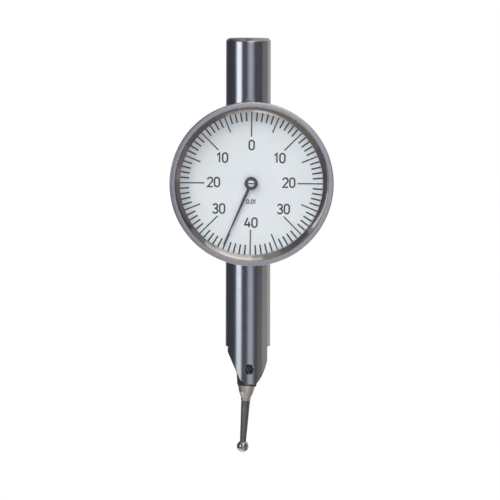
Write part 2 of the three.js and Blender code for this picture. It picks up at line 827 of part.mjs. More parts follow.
function rivet() {
  const low = -leverThickness / 2;
  const high = sectorPlateFrontDepth;
  const rivetHeadRadius = rivetRadius + rivetHeadWidth;
  const profile = [
    [0, low - rivetHeadHeight],
    [rivetHeadRadius, low - rivetHeadHeight],
    [rivetHeadRadius, low],
    [rivetRadius, low],
    [rivetRadius, high],
    [rivetHeadRadius, high],
    [rivetHeadRadius, high + rivetHeadHeight],
    [0, high + rivetHeadHeight],
  ];
  return turned(profile, smallSegments);
}

function leverArbor() {
  const tip = arborBodyHalfLength + arborConeLength;
  const half = [
    [leverArborRadius, arborBodyHalfLength],
    [arborConeRootRadius, arborBodyHalfLength],
    [arborConeTipRadius, tip],
    [0, tip],
  ];
  const mirrored = half.map(([r, z]) => [r, -z]).reverse();
  return turned([...mirrored, ...half], middleSegments);
}

function pivotScrew() {
  const tip = arborBodyHalfLength + arborConeLength + pivotPlay;
  const cup = [
    [0, arborBodyHalfLength],
    [arborConeRootRadius + pivotPlay, arborBodyHalfLength],
    [arborConeTipRadius + pivotPlay, tip],
    [0, tip],
  ];
  const body = rod(pivotScrewRadius, slotHalfWidth, pivotScrewFront, middleSegments);
  return slotted(cut(body, turned(cup, smallSegments)), pivotScrewRadius, pivotScrewFront);
}

// The contact, hanging down from the pivot
function swivelFork() {
  const narrowing = collarRadius - collarEndRadius;
  const flanks = collarShares.map(([down, wide]) => {
    return [collarEndRadius + wide * narrowing, -collarDistance - down * collarLength];
  });
  const profile = [
    [0, -collarEndDistance],
    [collarEndRadius, -collarEndDistance],
    ...flanks.reverse(),
    [collarRadius, -collarDistance],
    [0, -collarDistance],
  ];
  const earRange = [-earHalfThickness, earHalfThickness];
  const ears = join(
    rod(earRadius, ...earRange, middleSegments),
    taper(collarRadius + collarShoulder, earRadius, -collarDistance - fitGap, 0, ...earRange),
  );
  const edge = earRadius + overrun;
  const socketTop = collarEndDistance - studThreadLength - fitGap;
  const socketRadius = studThreadRadius + fitGap;
  const socket = [
    [0, -collarEndDistance - overrun],
    [socketRadius, -collarEndDistance - overrun],
    [socketRadius, -socketTop],
    [0, -socketTop],
  ];
  return cut(
    join(ears, turnedAboutY(profile, middleSegments)),
    block(edge, -earSlotDepth, edge, -earSlotHalfWidth, earSlotHalfWidth),
    rod(leverArborRadius + fitGap, -edge, edge, middleSegments),
    turnedAboutY(socket, smallSegments),
  );
}

function frictionWasher() {
  const from = leverThickness / 2 + washerGap;
  const radius = leverDiscRadius - washerInset;
  return ring(leverArborRadius + fitGap, radius, from, from + washerThickness, middleSegments);
}

function stemShoulderDistance() {
  return ballDistance - Math.sqrt(ballRadius ** 2 - (stemTipRadius + fitGap) ** 2);
}

function contactStem() {
  const shoulder = stemShoulderDistance();
  const profile = [
    [0, -shoulder - stemSpigotLength],
    [stemSpigotRadius, -shoulder - stemSpigotLength],
    [stemSpigotRadius, -shoulder],
    [stemTipRadius, -shoulder],
    [stemRootRadius, -collarEndDistance],
    [studThreadRadius, -collarEndDistance],
    [studThreadRadius, -collarEndDistance + studThreadLength],
    [0, -collarEndDistance + studThreadLength],
  ];
  return turnedAboutY(profile, middleSegments);
}

function contactBall() {
  const shoulder = -stemShoulderDistance() - fitGap;
  const socketRadius = stemSpigotRadius + fitGap;
  const foot = shoulder - stemSpigotLength;
  const seat = [
    [0, foot],
    [socketRadius, foot],
    [socketRadius, shoulder],
    [ballRadius, shoulder],
    [ballRadius, shoulder + ballRadius],
    [0, shoulder + ballRadius],
  ];
  const ball = new THREE.SphereGeometry(ballRadius, middleSegments, ballRowCount);
  return cut(ball.translate(0, -ballDistance, 0), turnedAboutY(seat, middleSegments));
}

// Materials
function metal(color, roughness) {
  return new THREE.MeshStandardMaterial({ color, roughness, metalness: 1 });
}

function dull(color, roughness) {
  return new THREE.MeshStandardMaterial({ color, roughness, metalness: 0 });
}

const polishedSteel = () => metal(0xb4b6bd, 0.12);
const satinSteel = () => metal(0x95949a, 0.35);
const matteSteel = () => metal(0xa19e97, 0.5);
const springSteel = () => metal(0x5d6470, 0.3);
const brass = () => metal(0xc2a059, 0.3);
const blackened = () => metal(0x26262f, 0.4);
const whiteEnamel = () => dull(0xd7dcdf, 0.5);
const ruby = () => dull(0x9c1c34, 0.15);

function clearGlass() {
  const look = { color: 0xf2f6f8, roughness: 0.03, transparent: true, opacity: 0.25 };
  return new THREE.MeshStandardMaterial(look);
}

// Assembly
const indicator = new THREE.Group();

function frontView(height) {
  const view = new THREE.Group();
  view.position.z = height;
  view.rotation.x = Math.PI / 2;
  indicator.add(view);
  return view;
}

function turnedGroup(parent, anticlockwise) {
  const group = new THREE.Group();
  group.rotation.z = radians(anticlockwise);
  parent.add(group);
  return group;
}

function add(parent, name, geometry, material, [x, y] = [0, 0]) {
  const mesh = new THREE.Mesh(closed(geometry), material);
  mesh.name = name;
  mesh.position.set(x, y, 0);
  parent.add(mesh);
  return mesh;
}

function addHousing(head, train, fork) {
  add(indicator, "body_tube", bodyTube(), polishedSteel());
  add(head, "dial_case", dialCase(), satinSteel());
  caseScrewPlaces().forEach((place, k) => {
    const made = screw(caseScrewRadius, caseScrewLength, caseScrewHeadRadius, caseScrewHeadHeight);
    add(head, `case_screw_${k + 1}`, made.translate(0, 0, floorDepth), springSteel(), place);
  });
  add(head, "bezel_spring", bezelSpring(), springSteel());
  add(train, "bush_intermediate_rear", rearBush(), brass()).rotation.y = Math.PI;
  add(fork, "pivot_screw_front", pivotScrew(), springSteel());
  add(fork, "pivot_screw_rear", pivotScrew(), springSteel()).rotation.y = Math.PI;
}

function addMovement(head) {
  const bridgeFrom = bridgeDepth + jewelInset;
  const bridgeTo = bridgeFrontDepth - jewelInset;
  const foot = [0, -trainDrop];
  add(head, "movement_bridge", bridge(), brass());
  add(head, "jewel_centre_rear", jewel(arborPivotRadius, seatDepth, floorDepth - jewelInset), ruby());
  add(head, "jewel_centre_front", jewel(arborRadius, bridgeFrom, bridgeTo), ruby());
  add(head, "jewel_intermediate_front", jewel(arborPivotRadius, bridgeFrom, bridgeTo), ruby(), foot);
  [-pillarSpread, pillarSpread].forEach((x, k) => {
    const length = bridgeThickness + bridgeScrewDepth;
    const made = screw(bridgeScrewRadius, length, bridgeScrewHeadRadius, bridgeScrewHeadHeight);
    const place = [x, -pillarDrop];
    add(head, `bridge_pillar_${k + 1}`, pillar(), brass(), place);
    add(head, `bridge_screw_${k + 1}`, made.translate(0, 0, bridgeFrontDepth), springSteel(), place);
  });
  const studPlace = [0, hairspringOuterRadius + hairspringThickness / 2 + fitGap + studRadius];
  const stud = rod(studRadius, floorDepth, hairspringFrontDepth + studOverhang);
  add(head, "hairspring_stud", stud, brass(), studPlace);
}

function addPointer(head) {
  add(head, "centre_arbor", centreArbor(), springSteel());
  add(head, "hairspring_collet", springCollet(), brass());
  add(head, "hairspring", hairspring(), springSteel());
  add(head, "pointer_hub", hub(), blackened());
  add(turnedGroup(head, -pointerRestAngle), "pointer", pointer(), blackened());
}

function addBezel(head) {
  add(head, "bezel", bezel(), satinSteel());
  add(head, "crystal", crystal(), clearGlass());
  add(head, "crystal_ring", crystalRing(), satinSteel());
  add(head, "dial_plate", ring(dialHoleRadius, dialRadius, dialBackDepth, dialFaceDepth), whiteEnamel());
  add(head, "dial_retainer", retainer(), springSteel());
}

function addTrain(train) {
  add(train, "intermediate_arbor", intermediateArbor(), springSteel());
  add(train, "intermediate_wheel", wheel(), brass());
  add(train, "wheel_collet", wheelCollet(), brass());
}

function addLever(lever) {
  add(lever, "measuring_lever", measuringLever(), matteSteel());
  add(lever, "gear_sector", gearSector(), brass());
  rivetPlaces().forEach((y, k) => add(lever, `sector_rivet_${k + 1}`, rivet(), matteSteel(), [0, y]));
  add(lever, "lever_arbor", leverArbor(), springSteel());
}

function addContact(contact) {
  add(contact, "swivel_fork", swivelFork(), matteSteel());
  add(contact, "friction_washer_front", frictionWasher(), springSteel());
  add(contact, "friction_washer_rear", frictionWasher(), springSteel()).rotation.y = Math.PI;
  add(contact, "contact_stem", contactStem(), polishedSteel());
  add(contact, "contact_ball", contactBall(), polishedSteel());
}

const headView = frontView(dialZ);
const trainView = frontView(intermediateZ);
const forkView = frontView(pivotZ);
addHousing(headView, trainView, forkView);
addMovement(headView);
addPointer(headView);
addBezel(headView);
addTrain(trainView);
addLever(turnedGroup(forkView, leverTravelAngle / 2));
addContact(turnedGroup(forkView, -contactTiltAngle));

export default indicator;
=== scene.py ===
import math

import bmesh
import bpy
import numpy as np
from mathutils import Matrix, Quaternion, Vector


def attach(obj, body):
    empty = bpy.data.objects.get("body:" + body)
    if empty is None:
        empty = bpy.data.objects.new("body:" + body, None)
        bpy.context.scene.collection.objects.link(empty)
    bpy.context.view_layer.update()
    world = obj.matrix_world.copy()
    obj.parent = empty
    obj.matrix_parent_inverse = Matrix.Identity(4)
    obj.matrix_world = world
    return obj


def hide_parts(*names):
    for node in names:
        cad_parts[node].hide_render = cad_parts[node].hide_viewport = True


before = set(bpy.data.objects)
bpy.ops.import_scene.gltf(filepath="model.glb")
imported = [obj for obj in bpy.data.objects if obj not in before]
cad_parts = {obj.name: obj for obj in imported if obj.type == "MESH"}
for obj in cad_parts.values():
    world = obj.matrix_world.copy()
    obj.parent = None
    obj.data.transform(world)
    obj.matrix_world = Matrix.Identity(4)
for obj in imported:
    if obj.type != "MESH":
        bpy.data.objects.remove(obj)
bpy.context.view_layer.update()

MM = 0.001

# Steps round a turned piece, by its size
FINE = 192
MIDDLE = 96
SMALL = 48

# The photograph's view, in degrees and metres
CAMERA_AZIMUTH = -3.5
CAMERA_ELEVATION = 4.5
CAMERA_ROLL = 0.12
CAMERA_DISTANCE = 0.9
CAMERA_TARGET = Vector((0.00035, 0, -0.03805))
VIEW_WIDTH = 0.0899
SENSOR_WIDTH = 36


def toward(azimuth, elevation):
    """The direction from the part to a bearing in degrees. 0, 0 is straight before the dial."""
    a, e = math.radians(azimuth), math.radians(elevation)
    return Vector((math.sin(a) * math.cos(e), -math.cos(a) * math.cos(e), math.sin(e)))


def placed(name, data):
    thing = bpy.data.objects.new(name, data)
    bpy.context.scene.collection.objects.link(thing)
    return thing


def aim(thing, back, roll=0.0):
    """Turns a camera or lamp to look against a direction."""
    thing.rotation_mode = "QUATERNION"
    thing.rotation_quaternion = Quaternion(back, roll) @ (-back).to_track_quat("-Z", "Y")


def place_camera():
    back = toward(CAMERA_AZIMUTH, CAMERA_ELEVATION)
    data = bpy.data.cameras.new("camera")
    data.sensor_width = SENSOR_WIDTH
    data.lens = SENSOR_WIDTH * CAMERA_DISTANCE / VIEW_WIDTH
    data.clip_start = 0.01
    data.clip_end = 20
    camera = placed("camera", data)
    camera.location = CAMERA_TARGET + back * CAMERA_DISTANCE
    aim(camera, back, math.radians(CAMERA_ROLL))
    bpy.context.scene.camera = camera


place_camera()

# Most values of a noise lie between these two
NOISE_LOW = 0.3
NOISE_HIGH = 0.7


# Node materials
def new_material(name):
    material = bpy.data.materials.new(name)
    material.use_nodes = True
    return material, material.node_tree, material.node_tree.nodes["Principled BSDF"]


def node(tree, kind, **settings):
    made = tree.nodes.new(kind)
    for key, value in settings.items():
        setattr(made, key, value)
    return made


def stretched(tree, scale):
    """Object coordinates in millimetres, stretched by a scale for each axis."""
    place = node(tree, "ShaderNodeTexCoord")
    mapping = node(tree, "ShaderNodeMapping")
    mapping.inputs["Scale"].default_value = [s / MM for s in scale]
    tree.links.new(place.outputs["Object"], mapping.inputs["Vector"])
    return mapping.outputs["Vector"]


def noise(tree, scale, detail, rough=0.5):
    made = node(tree, "ShaderNodeTexNoise")
    made.inputs["Scale"].default_value = 1
    made.inputs["Detail"].default_value = detail
    made.inputs["Roughness"].default_value = rough
    tree.links.new(stretched(tree, scale), made.inputs["Vector"])
    return made.outputs["Fac"]


def ranged(tree, value, low, high):
    made = node(tree, "ShaderNodeMapRange")
    limits = {"From Min": NOISE_LOW, "From Max": NOISE_HIGH, "To Min": low, "To Max": high}
    for key, limit in limits.items():
        made.inputs[key].default_value = limit
    tree.links.new(value, made.inputs["Value"])
    return made.outputs["Result"]


def blended(tree, value, dark, light):
    made = node(tree, "ShaderNodeMix", data_type="RGBA")
    made.inputs["A"].default_value = (*dark, 1)
    made.inputs["B"].default_value = (*light, 1)
    tree.links.new(value, made.inputs["Factor"])
    return made.outputs["Result"]


def bumped(tree, bsdf, value, height):
    made = node(tree, "ShaderNodeBump")
    made.inputs["Strength"].default_value = 1
    made.inputs["Distance"].default_value = height * MM
    tree.links.new(value, made.inputs["Height"])
    tree.links.new(made.outputs["Normal"], bsdf.inputs["Normal"])


def mixed(tree, share, first, second, output):
    """Mixes two shaders by a share of the second, as the surface of a material or world."""
    mix = node(tree, "ShaderNodeMixShader")
    tree.links.new(share, mix.inputs["Fac"])
    tree.links.new(first, mix.inputs[1])
    tree.links.new(second, mix.inputs[2])
    tree.links.new(mix.outputs["Shader"], tree.nodes[output].inputs["Surface"])


def metal(name, dark, light, rough, spread, grain, bump):
    """A metal with fine tool marks along one direction and slow changes of tone."""
    material, tree, bsdf = new_material(name)
    bsdf.inputs["Metallic"].default_value = 1
    marks = noise(tree, grain, detail=4, rough=0.6)
    tones = noise(tree, (0.5, 0.5, 0.5), detail=5, rough=0.6)
    tree.links.new(blended(tree, ranged(tree, tones, 0, 1), dark, light), bsdf.inputs["Base Color"])
    tree.links.new(ranged(tree, marks, rough - spread, rough + spread), bsdf.inputs["Roughness"])
    bumped(tree, bsdf, marks, bump)
    return material


def coating(name, dark, light, rough, spread, scale, bump, gloss=0.5, coat=0.0):
    """Enamel, ink, blacking or polished stone: a fine grain in tone, gloss and surface."""
    material, tree, bsdf = new_material(name)
    bsdf.inputs["Specular IOR Level"].default_value = gloss
    bsdf.inputs["Coat Weight"].default_value = coat
    bsdf.inputs["Coat Roughness"].default_value = 0.08
    grain = noise(tree, (scale, scale, scale), detail=6, rough=0.65)
    tree.links.new(blended(tree, ranged(tree, grain, 0, 1), dark, light), bsdf.inputs["Base Color"])
    tree.links.new(ranged(tree, grain, rough - spread, rough + spread), bsdf.inputs["Roughness"])
    bumped(tree, bsdf, grain, bump)
    return material


def glass():
    """Clear glass that lets lamp light through to the dial."""
    material, tree, bsdf = new_material("clear_glass_look")
    bsdf.inputs["Transmission Weight"].default_value = 1
    bsdf.inputs["IOR"].default_value = 1.5
    smudge = noise(tree, (0.25, 0.25, 0.25), detail=4)
    tree.links.new(ranged(tree, smudge, 0, 0.012), bsdf.inputs["Roughness"])
    tree.links.new(blended(tree, smudge, (0.985, 0.99, 0.995), (1, 1, 1)), bsdf.inputs["Base Color"])
    clear = node(tree, "ShaderNodeBsdfTransparent").outputs["BSDF"]
    shadow = node(tree, "ShaderNodeLightPath").outputs["Is Shadow Ray"]
    mixed(tree, shadow, bsdf.outputs["BSDF"], clear, "Material Output")
    return material


# A look's darker and lighter tone, its roughness and how far that varies, its grain, and its bump in mm
looks = {
    "polished_steel": metal(
        "polished_steel_look", (0.60, 0.615, 0.65), (0.64, 0.65, 0.68), 0.2, 0.03, (0.15, 0.15, 9), 0.0006,
    ),
    "satin_steel": metal(
        "satin_steel_look", (0.63, 0.625, 0.65), (0.68, 0.675, 0.70), 0.29, 0.04, (2, 2, 2), 0.0003,
    ),
    "matte_steel": metal(
        "matte_steel_look", (0.56, 0.54, 0.50), (0.66, 0.64, 0.60), 0.36, 0.06, (0.4, 0.4, 7), 0.0015,
    ),
    "spring_steel": metal(
        "spring_steel_look", (0.32, 0.34, 0.40), (0.44, 0.45, 0.50), 0.3, 0.06, (4, 4, 4), 0.001,
    ),
    "brass": metal(
        "brass_look", (0.70, 0.54, 0.27), (0.80, 0.66, 0.38), 0.3, 0.06, (2, 5, 2), 0.001,
    ),
    "hard_chrome": metal(
        "hard_chrome_look", (0.62, 0.575, 0.595), (0.70, 0.66, 0.675), 0.18, 0.03, (2, 2, 2), 0.0003,
    ),
    "blackened_steel": coating(
        "blackened_steel_look", (0.005, 0.006, 0.018), (0.012, 0.015, 0.04), 0.34, 0.06, 4, 0.001, 0.35,
    ),
    "white_enamel": coating(
        "white_enamel_look", (0.655, 0.695, 0.72), (0.68, 0.72, 0.745), 0.42, 0.04, 0.8, 0.0004,
    ),
    "ruby": coating(
        "ruby_look", (0.30, 0.004, 0.03), (0.5, 0.01, 0.07), 0.12, 0.03, 3, 0.0002, 0.5, 0.6,
    ),
    "clear_glass": glass(),
}
ink = coating(
    "dial_ink_look", (0.004, 0.005, 0.012), (0.012, 0.014, 0.024), 0.6, 0.05, 5, 0.0005, 0.2,
)
stem_steel = metal(
    "stem_steel_look", (0.27, 0.235, 0.245), (0.37, 0.335, 0.34), 0.46, 0.06, (0.4, 0.4, 6), 0.001,
)
# A lighter copy of the steel for the collar: its brightness is painted light, for the sheen that the
# collar catches
painted_light_collar_steel = metal(
    "collar_steel_look", (0.80, 0.79, 0.73), (0.93, 0.915, 0.85), 0.36, 0.06, (0.4, 0.4, 7), 0.0012,
)
ring_steel = metal(
    "ring_steel_look", (0.44, 0.42, 0.415), (0.54, 0.52, 0.51), 0.1, 0.03, (3, 3, 3), 0.0004,
)
# A dark copy of the steel: its dark tone is painted shade, for recesses and for faces in the shade of
# other parts
painted_shade_steel = metal(
    "painted_shade_steel_look", (0.10, 0.082, 0.095), (0.16, 0.137, 0.15), 0.42, 0.06, (3, 3, 3), 0.001,
)

# In millimetres: nearer points are one point, and a smaller radius lies on the axis
SAME_POINT = 0.00002
ON_AXIS = 1e-6


# Meshes
def rounded(points, radii, steps=4):
    """A closed outline with each corner rounded to its own radius."""
    outline = []
    count = len(points)
    for k, (here, radius) in enumerate(zip(points, radii)):
        here = Vector(here)
        before, after = Vector(points[k - 1]), Vector(points[(k + 1) % count])
        if radius <= 0:
            outline.append(tuple(here))
            continue
        back, ahead = (before - here).normalized(), (after - here).normalized()
        half = back.angle(ahead) / 2
        reach = radius / math.tan(half)
        middle = here + (back + ahead).normalized() * (radius / math.sin(half))
        first, last = here + back * reach - middle, here + ahead * reach - middle
        turn = first.angle_signed(last)
        for s in range(steps + 1):
            spoke = Matrix.Rotation(-turn * s / steps, 2) @ first
            outline.append(tuple(middle + spoke))
    return outline


def arc(x, y, rx, ry, start, end, steps=14):
    angles = [math.radians(start + (end - start) * k / steps) for k in range(steps + 1)]
    return [(x + rx * math.cos(a), y + ry * math.sin(a)) for a in angles]


def curve(start, pull, end, steps=24):
    """A bent line that leaves its start towards a point and reaches its end from there."""
    start, pull, end = Vector(start), Vector(pull), Vector(end)
    shares = [k / steps for k in range(steps + 1)]
    return [tuple(start * (1 - t) ** 2 + pull * 2 * t * (1 - t) + end * t * t) for t in shares]


def mesh_object(name, vertices, faces):
    mesh = bpy.data.meshes.new(name)
    mesh.from_pydata([Vector(v) * MM for v in vertices], [], faces)
    made = placed(name, mesh)
    work = bmesh.new()
    work.from_mesh(mesh)
    bmesh.ops.remove_doubles(work, verts=work.verts, dist=SAME_POINT * MM)
    bmesh.ops.recalc_face_normals(work, faces=work.faces)
    work.to_mesh(mesh)
    work.free()
    return made


def lathe(name, outline, segments=FINE, wave=None):
    """Turns an outline of (radius, height) points about Z. wave(radius, height, step) adds to a radius."""
    vertices, faces = [], []
    rows = len(outline)
    for k in range(segments):
        angle = 2 * math.pi * k / segments
        for radius, height in outline:
            r = radius + (wave(radius, height, k) if wave else 0)
            vertices.append((r * math.cos(angle), r * math.sin(angle), height))
    for k in range(segments):
        here, beside = k * rows, (k + 1) % segments * rows
        for i in range(rows):
            j = (i + 1) % rows
            if outline[i][0] < ON_AXIS and outline[j][0] < ON_AXIS:
                continue
            corners = [here + i, here + j, beside + j, beside + i]
            if outline[i][0] < ON_AXIS:
                corners = corners[:3]
            elif outline[j][0] < ON_AXIS:
                corners = [corners[0], corners[1], corners[3]]
            faces.append(corners)
    return mesh_object(name, vertices, faces)


def rod(name, radius, low, high, segments=MIDDLE):
    return lathe(name, [(0, low), (radius, low), (radius, high), (0, high)], segments)


def prism(name, outline, low, high):
    """An outline of (x, y) points, extruded along Z."""
    count = len(outline)
    vertices = [(x, y, z) for z in (low, high) for x, y in outline]
    faces = [list(range(count))[::-1], list(range(count, 2 * count))]
    faces += [[k, (k + 1) % count, (k + 1) % count + count, k + count] for k in range(count)]
    return mesh_object(name, vertices, faces)


def rectangle(low, high):
    return [(low[0], low[1]), (high[0], low[1]), (high[0], high[1]), (low[0], high[1])]


def box(name, low, high):
    return prism(name, rectangle(low, high), low[2], high[2])


def move(thing, matrix):
    thing.data.transform(matrix)
    thing.data.update()
    return thing


def shifted(x=0, y=0, z=0):
    return Matrix.Translation((x * MM, y * MM, z * MM))


def turned(angle, axis):
    return Matrix.Rotation(angle, 4, axis)


def facing(height):
    """From a front view (x right, y up, z forward) at a height on the bar to the part's own frame."""
    return shifted(z=height) @ turned(math.pi / 2, "X")


def applied(thing):
    graph = bpy.context.evaluated_depsgraph_get()
    mesh = bpy.data.meshes.new_from_object(thing.evaluated_get(graph))
    thing.modifiers.clear()
    old = thing.data
    thing.data = mesh
    bpy.data.meshes.remove(old)
    mesh.name = thing.name


def boolean(thing, tools, operation):
    for tool in tools:
        work = thing.modifiers.new("cut", "BOOLEAN")
        work.operation = operation
        work.solver = "EXACT"
        work.object = tool
        applied(thing)
        mesh = tool.data
        bpy.data.objects.remove(tool)
        bpy.data.meshes.remove(mesh)


def cut(thing, *tools):
    boolean(thing, tools, "DIFFERENCE")


def join(thing, *tools):
    boolean(thing, tools, "UNION")


def edged(thing, width):
    """Small bevels along the sharp edges."""
    work = thing.modifiers.new("edges", "BEVEL")
    work.width = width * MM
    work.segments = 2
    work.limit_method = "ANGLE"
    work.angle_limit = math.radians(30)
    work.use_clamp_overlap = True
    applied(thing)


def smooth(thing, angle=38):
    """Smooth shading with flat faces kept flat."""
    thing.data.shade_smooth()
    thing.data.set_sharp_from_angle(angle=math.radians(angle))
    work = thing.modifiers.new("shading", "WEIGHTED_NORMAL")
    work.mode = "FACE_AREA"
    work.weight = 50
    work.keep_sharp = True
    applied(thing)


def true_round(thing, radius, tolerance=0.003, upright=0.2):
    """Gives the faces that lie on a round about the Z axis the round's own normals."""
    mesh = thing.data
    normals = np.zeros(len(mesh.loops) * 3)
    mesh.corner_normals.foreach_get("vector", normals)
    normals = normals.reshape(-1, 3)
    places = np.zeros(len(mesh.vertices) * 3)
    mesh.vertices.foreach_get("co", places)
    flat = places.reshape(-1, 3)[:, :2] / MM
    reach = np.hypot(flat[:, 0], flat[:, 1])
    on = abs(reach - radius) < tolerance
    for face in mesh.polygons:
        corners = list(face.vertices)
        if abs(face.normal.z) < upright and on[corners].all():
            outward = 1 if Vector(flat[corners[0]]).dot(face.normal.xy) > 0 else -1
            for loop, corner in zip(face.loop_indices, corners):
                normals[loop] = (*(flat[corner] / reach[corner] * outward), 0)
    mesh.normals_split_custom_set(normals.tolist())


def finish_piece(thing, body, slot, replaced=(), look=None):
    thing.data.materials.clear()
    thing.data.materials.append(look or looks[slot])
    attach(thing, body)
    if replaced:
        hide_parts(*replaced)


def paint_shade(thing, chosen):
    """Paints shade on the chosen faces by giving them the dark steel look."""
    thing.data.materials.append(painted_shade_steel)
    for face, dark in zip(thing.data.polygons, chosen):
        face.material_index = int(dark)


# Sizes in millimetres, as in the solids. Heights on the bar are below its top face
BAR_RADIUS = 4
DIAL = -25.5
INTERMEDIATE = -30.75
NOSE_TOP = -55.3
PIVOT = -59.25
NOSE_BOTTOM = -61.95
BORE_RADIUS = 2.587
WINDOW_RADIUS = 1.2425

# Forward of the bar's axis
SEAT = 3.2
CASE_FLOOR = 4
DIAL_FACE = 7.9
CRYSTAL_BACK = 9.3
CRYSTAL_FRONT = 9.9
BEZEL_FRONT = 10.6

# Out from the dial's middle
BORE_OF_CASE = 12.2975
NECK_RADIUS = 13.0975
DIAL_RADIUS = 13.1975
SKIRT_RADIUS = 13.2475
CRYSTAL_RADIUS = 13.2975
BEZEL_SEAT = 13.6475
CASE_RADIUS = 13.9975
SEAT_HALF = 14.0975
BEZEL_RADIUS = 14.5975
SCREW_OFFSET = 10.9675

# How far the cutters reach to the bar's side and below the nose's top, and the slot's half width
PAST_SIDE = 6
PAST_NOSE = -8
SLOT_HALF = 1.75


# The bar, whose end is milled to a fork with two unlike flanks
def make_bar():
    outline = rounded(
        [(0, NOSE_BOTTOM), (BAR_RADIUS, NOSE_BOTTOM), (BAR_RADIUS, -0.4), (3.6, 0), (0, 0)],
        [0, 0.06, 0.35, 0.12, 0],
        8,
    )
    bar = lathe("body_tube_look", outline)
    heel = rounded(
        [(-0.65, PAST_NOSE), (-0.65, -6.65), (-1.6, -5.8), (-3.55, -1.3), (-3.55, 0)],
        [0, 0.3, 0.5, 0.4, 0],
        6,
    )
    left = [(-PAST_SIDE, 0), (-PAST_SIDE, PAST_NOSE), *heel]
    bulge = curve((3.37, -2.5), (2.54, -5.53), (1.15, -6.65))
    right = [(PAST_SIDE, 0), (3.37, 0), *bulge, (1.15, PAST_NOSE), (PAST_SIDE, PAST_NOSE)]
    bore_top = INTERMEDIATE + 1.7425
    slot_top = PIVOT + 3.4
    bore = [(0, slot_top - 1), (BORE_RADIUS, slot_top - 1), (BORE_RADIUS, bore_top), (0, bore_top + 0.9)]
    sink = [(0, -1), (0.73, -1), (0.73, 3.75), (0.98, 4), (0.98, PAST_SIDE), (0, PAST_SIDE)]
    slot_low, slot_high = (-PAST_SIDE, PAST_NOSE, -SLOT_HALF), (PAST_SIDE, slot_top - NOSE_TOP, SLOT_HALF)
    seat_low, seat_high = (-PAST_SIDE, -SEAT_HALF, SEAT), (PAST_SIDE, SEAT_HALF, PAST_SIDE)
    cut(
        bar,
        move(prism("nose_left", left, -PAST_SIDE, PAST_SIDE), facing(NOSE_TOP)),
        move(prism("nose_right", right, -PAST_SIDE, PAST_SIDE), facing(NOSE_TOP)),
        lathe("bore", bore, SMALL),
        move(box("slot", slot_low, slot_high), facing(NOSE_TOP)),
        move(box("seat", seat_low, seat_high), facing(DIAL)),
        move(lathe("hole_front", sink, SMALL), facing(PIVOT)),
        move(lathe("hole_back", sink, SMALL), facing(PIVOT) @ turned(math.pi, "Y")),
        move(rod("window", WINDOW_RADIUS, 0, PAST_SIDE, SMALL), facing(INTERMEDIATE)),
        move(rod("bush_seat", 1, -PAST_SIDE, 0, SMALL), facing(INTERMEDIATE)),
    )
    edged(bar, 0.05)
    smooth(bar)
    true_round(bar, BAR_RADIUS)
    finish_piece(bar, "housing", "polished_steel", ["body_tube"])


make_bar()


# The case behind the bezel, with a groove for the bezel's spring
def make_case():
    points = [
        (0, SEAT), (CASE_RADIUS - 0.5, SEAT), (CASE_RADIUS, SEAT + 0.5), (CASE_RADIUS, 6.3),
        (NECK_RADIUS, 6.3), (NECK_RADIUS, 6.55), (12.95, 6.55), (12.95, 6.85), (NECK_RADIUS, 6.85),
        (NECK_RADIUS, 7), (BORE_OF_CASE, 7), (BORE_OF_CASE, CASE_FLOOR), (0, CASE_FLOOR),
    ]
    radii = [0, 0.15, 0.15, 0.12, 0.02, 0.03, 0, 0, 0.03, 0.04, 0.04, 0.2, 0]
    case = lathe("dial_case_look", rounded(points, radii))
    through = (SEAT - 1, CASE_FLOOR + 1)
    holes = [
        move(rod("hole", 0.55, *through, SMALL), shifted(x, y))
        for x in (-1.5, 1.5)
        for y in (-SCREW_OFFSET, SCREW_OFFSET)
    ]
    cut(
        case,
        move(rod("window", WINDOW_RADIUS, *through, SMALL), shifted(y=INTERMEDIATE - DIAL)),
        rod("jewel_seat", 0.75, *through, SMALL),
        *holes,
    )
    move(case, facing(DIAL))
    smooth(case)
    finish_piece(case, "housing", "satin_steel", ["dial_case"])


make_case()

# The bezel's knurl: how many ridges, the shape of one, and the band that they cover
KNURLS = 150
RIDGE = (1, 0.5, -1, 0.5)
RIDGE_HEIGHT = 0.07
KNURL_RADIUS = 14.37
KNURL_LOW = 6.75
KNURL_HIGH = 9.7


# The bezel: a fine knurl behind a smooth flange
def make_bezel():
    points = [
        (SKIRT_RADIUS, 6.4), (14.26, 6.4), (14.26, KNURL_LOW), (KNURL_RADIUS, KNURL_LOW),
        (KNURL_RADIUS, KNURL_HIGH), (BEZEL_RADIUS, KNURL_HIGH), (BEZEL_RADIUS, BEZEL_FRONT),
        (13.75, BEZEL_FRONT), (BEZEL_SEAT, 10.518), (BEZEL_SEAT, CRYSTAL_BACK), (12.95, CRYSTAL_BACK),
        (12.72, DIAL_FACE), (SKIRT_RADIUS, DIAL_FACE),
    ]
    radii = [0.06, 0.06, 0, 0.1, 0.1, 0.08, 0.17, 0.02, 0.02, 0, 0.06, 0.04, 0]

    def ridges(radius, height, step):
        on_band = radius > KNURL_RADIUS - 0.04 and KNURL_LOW + 0.01 < height < KNURL_HIGH - 0.01
        return RIDGE_HEIGHT * RIDGE[step % len(RIDGE)] if on_band else 0

    bezel = lathe("bezel_look", rounded(points, radii, 5), KNURLS * len(RIDGE), ridges)
    move(bezel, facing(DIAL))
    smooth(bezel, 50)
    finish_piece(bezel, "bezel_assembly", "satin_steel", ["bezel"])


make_bezel()


def make_crystal():
    points = [
        (0, CRYSTAL_BACK), (CRYSTAL_RADIUS, CRYSTAL_BACK), (CRYSTAL_RADIUS, CRYSTAL_FRONT),
        (0, CRYSTAL_FRONT),
    ]
    crystal = lathe("crystal_look", rounded(points, [0, 0.05, 0.15, 0]))
    smooth(move(crystal, facing(DIAL)))
    finish_piece(crystal, "bezel_assembly", "clear_glass", ["crystal"])


make_crystal()

# The ring's slope starts at this lean, in degrees, and grows steeper by this bend
RING_LEAN = 37.2
RING_BEND = 3
RING_STEPS = 6


